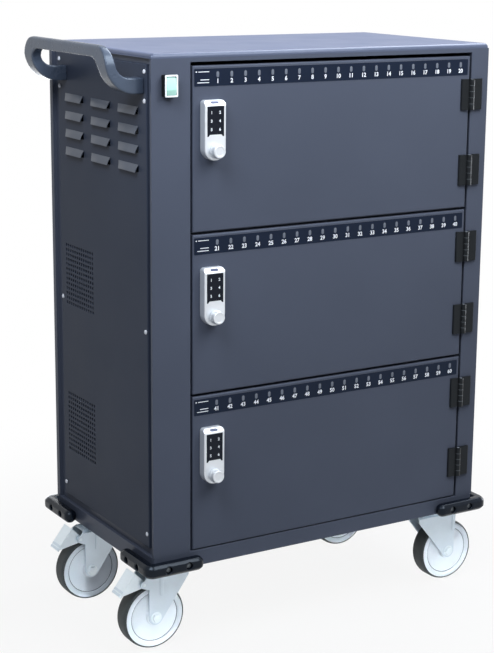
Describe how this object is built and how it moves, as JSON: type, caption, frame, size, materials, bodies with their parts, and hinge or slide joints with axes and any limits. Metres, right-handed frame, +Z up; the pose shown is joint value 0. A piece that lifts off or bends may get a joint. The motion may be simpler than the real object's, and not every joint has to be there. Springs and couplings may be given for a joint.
{
  "type": "charging cabinet",
  "caption": "Wheeled sheet-metal cabinet that stores and charges laptops or tablets upright behind hinged doors with keypad locks, with a side push handle, fan vents and corner bumpers",
  "frame": {"origin": "on the floor under the middle of the whole cabinet's bounding box", "axes": "+Z up, +Y from the doors to the back, +X to the right seen from the front"},
  "size_m": [0.8475, 0.481, 1.1315],
  "materials": {
    "body_paint": "satin powder coat, dark blue grey",
    "inner_paint": "satin powder coat, blue grey",
    "white_screw": "white painted screw heads",
    "black_plastic": "fine-grained black moulding",
    "grey_plastic": "light textured moulding",
    "black_gloss": "glossy black keypad",
    "rocker_green": "pale green translucent rocker",
    "lock_metal": "satin nickel-plated casting",
    "zinc": "bright zinc-plated pressed steel",
    "steel": "zinc-plated steel",
    "wheel_white": "white polypropylene wheel core",
    "tyre_grey": "dark grey thermoplastic rubber"
  },
  "bodies": {
    "cabinet": {"base_tray": "body_paint", "cabinet_frame": "body_paint", "top_panel": "body_paint", "left_side_panel": "body_paint", "right_side_panel": "body_paint", "side_panel_screws": "white_screw", "back_panel": "body_paint", "inner_partition": "inner_paint", "shelves": "inner_paint", "slot_dividers": "grey_plastic", "charging_hubs": "black_plastic", "power_supplies": "steel", "push_handle": "black_plastic", "corner_bumpers": "black_plastic", "base_bolts": "steel", "caster_plates": "zinc", "hinge_frame_leaves": "black_plastic", "hinge_pins": "steel", "switch_housing": "black_plastic", "mains_inlet": "black_plastic", "fan_frames": "black_plastic"},
    "rocker": {"power_rocker": "rocker_green"},
    "upper_fan": {"fan_rotor_upper": "black_plastic"},
    "lower_fan": {"fan_rotor_lower": "black_plastic"},
    "upper_door": {"upper_door_panel": "body_paint", "upper_door_hinge_leaves": "black_plastic", "upper_lock_body": "lock_metal", "upper_lock_keypad": "black_gloss"},
    "upper_lock": {"upper_lock_knob": "lock_metal", "upper_lock_cam": "steel"},
    "middle_door": {"middle_door_panel": "body_paint", "middle_door_hinge_leaves": "black_plastic", "middle_lock_body": "lock_metal", "middle_lock_keypad": "black_gloss"},
    "middle_lock": {"middle_lock_knob": "lock_metal", "middle_lock_cam": "steel"},
    "lower_door": {"lower_door_panel": "body_paint", "lower_door_hinge_leaves": "black_plastic", "lower_lock_body": "lock_metal", "lower_lock_keypad": "black_gloss"},
    "lower_lock": {"lower_lock_knob": "lock_metal", "lower_lock_cam": "steel"},
    "front_left_swivel": {"front_left_caster_fork": "zinc", "front_left_caster_axle": "steel"},
    "front_left_wheel": {"front_left_caster_wheel": "wheel_white", "front_left_caster_tyre": "tyre_grey"},
    "front_left_brake": {"front_left_brake_pedal": "zinc"},
    "rear_left_swivel": {"rear_left_caster_fork": "zinc", "rear_left_caster_axle": "steel"},
    "rear_left_wheel": {"rear_left_caster_wheel": "wheel_white", "rear_left_caster_tyre": "tyre_grey"},
    "rear_left_brake": {"rear_left_brake_pedal": "zinc"},
    "front_right_swivel": {"front_right_caster_fork": "zinc", "front_right_caster_axle": "steel"},
    "front_right_wheel": {"front_right_caster_wheel": "wheel_white", "front_right_caster_tyre": "tyre_grey"},
    "rear_right_swivel": {"rear_right_caster_fork": "zinc", "rear_right_caster_axle": "steel"},
    "rear_right_wheel": {"rear_right_caster_wheel": "wheel_white", "rear_right_caster_tyre": "tyre_grey"}
  },
  "joints": [
    {"name": "upper_door_hinge", "type": "hinge", "parent": "cabinet", "child": "upper_door", "pos_m": [0.35325, -0.212, 0.94597], "axis": [0, 0, 1], "range_deg": [0, 120]},
    {"name": "upper_lock_turn", "type": "hinge", "parent": "upper_door", "child": "upper_lock", "pos_m": [-0.23125, -0.2065, 0.945], "axis": [0, 1, 0], "range_deg": [0, 90]},
    {"name": "middle_door_hinge", "type": "hinge", "parent": "cabinet", "child": "middle_door", "pos_m": [0.35325, -0.212, 0.6443], "axis": [0, 0, 1], "range_deg": [0, 120]},
    {"name": "middle_lock_turn", "type": "hinge", "parent": "middle_door", "child": "middle_lock", "pos_m": [-0.23125, -0.2065, 0.64333], "axis": [0, 1, 0], "range_deg": [0, 90]},
    {"name": "lower_door_hinge", "type": "hinge", "parent": "cabinet", "child": "lower_door", "pos_m": [0.35325, -0.212, 0.34263], "axis": [0, 0, 1], "range_deg": [0, 120]},
    {"name": "lower_lock_turn", "type": "hinge", "parent": "lower_door", "child": "lower_lock", "pos_m": [-0.23125, -0.2065, 0.34167], "axis": [0, 1, 0], "range_deg": [0, 90]},
    {"name": "rocker_tilt", "type": "hinge", "parent": "cabinet", "child": "rocker", "pos_m": [-0.3174, -0.2115, 1.06225], "axis": [1, 0, 0], "range_deg": [-16, 0]},
    {"name": "upper_fan_spin", "type": "hinge", "parent": "cabinet", "child": "upper_fan", "pos_m": [-0.33525, 0.0965, 0.66804], "axis": [1, 0, 0], "continuous": true},
    {"name": "lower_fan_spin", "type": "hinge", "parent": "cabinet", "child": "lower_fan", "pos_m": [-0.33525, 0.0965, 0.36697], "axis": [1, 0, 0], "continuous": true},
    {"name": "front_left_swivel_turn", "type": "hinge", "parent": "cabinet", "child": "front_left_swivel", "pos_m": [-0.29275, -0.1585, 0.1512], "axis": [0, 0, 1], "continuous": true},
    {"name": "front_left_wheel_roll", "type": "hinge", "parent": "front_left_swivel", "child": "front_left_wheel", "pos_m": [-0.33275, -0.1585, 0.0635], "axis": [0, 1, 0], "continuous": true},
    {"name": "front_left_brake_press", "type": "hinge", "parent": "front_left_swivel", "child": "front_left_brake", "pos_m": [-0.35675, -0.1585, 0.133], "axis": [0, 1, 0], "range_deg": [-20, 0]},
    {"name": "rear_left_swivel_turn", "type": "hinge", "parent": "cabinet", "child": "rear_left_swivel", "pos_m": [-0.29275, 0.1175, 0.1512], "axis": [0, 0, 1], "continuous": true},
    {"name": "rear_left_wheel_roll", "type": "hinge", "parent": "rear_left_swivel", "child": "rear_left_wheel", "pos_m": [-0.33275, 0.1175, 0.0635], "axis": [0, 1, 0], "continuous": true},
    {"name": "rear_left_brake_press", "type": "hinge", "parent": "rear_left_swivel", "child": "rear_left_brake", "pos_m": [-0.35675, 0.1175, 0.133], "axis": [0, 1, 0], "range_deg": [-20, 0]},
    {"name": "front_right_swivel_turn", "type": "hinge", "parent": "cabinet", "child": "front_right_swivel", "pos_m": [0.32025, -0.1585, 0.1512], "axis": [0, 0, 1], "continuous": true},
    {"name": "front_right_wheel_roll", "type": "hinge", "parent": "front_right_swivel", "child": "front_right_wheel", "pos_m": [0.36025, -0.1585, 0.0635], "axis": [0, 1, 0], "continuous": true},
    {"name": "rear_right_swivel_turn", "type": "hinge", "parent": "cabinet", "child": "rear_right_swivel", "pos_m": [0.32025, 0.1175, 0.1512], "axis": [0, 0, 1], "continuous": true},
    {"name": "rear_right_wheel_roll", "type": "hinge", "parent": "rear_right_swivel", "child": "rear_right_wheel", "pos_m": [0.28025, 0.1175, 0.0635], "axis": [0, 1, 0], "continuous": true}
  ]
}
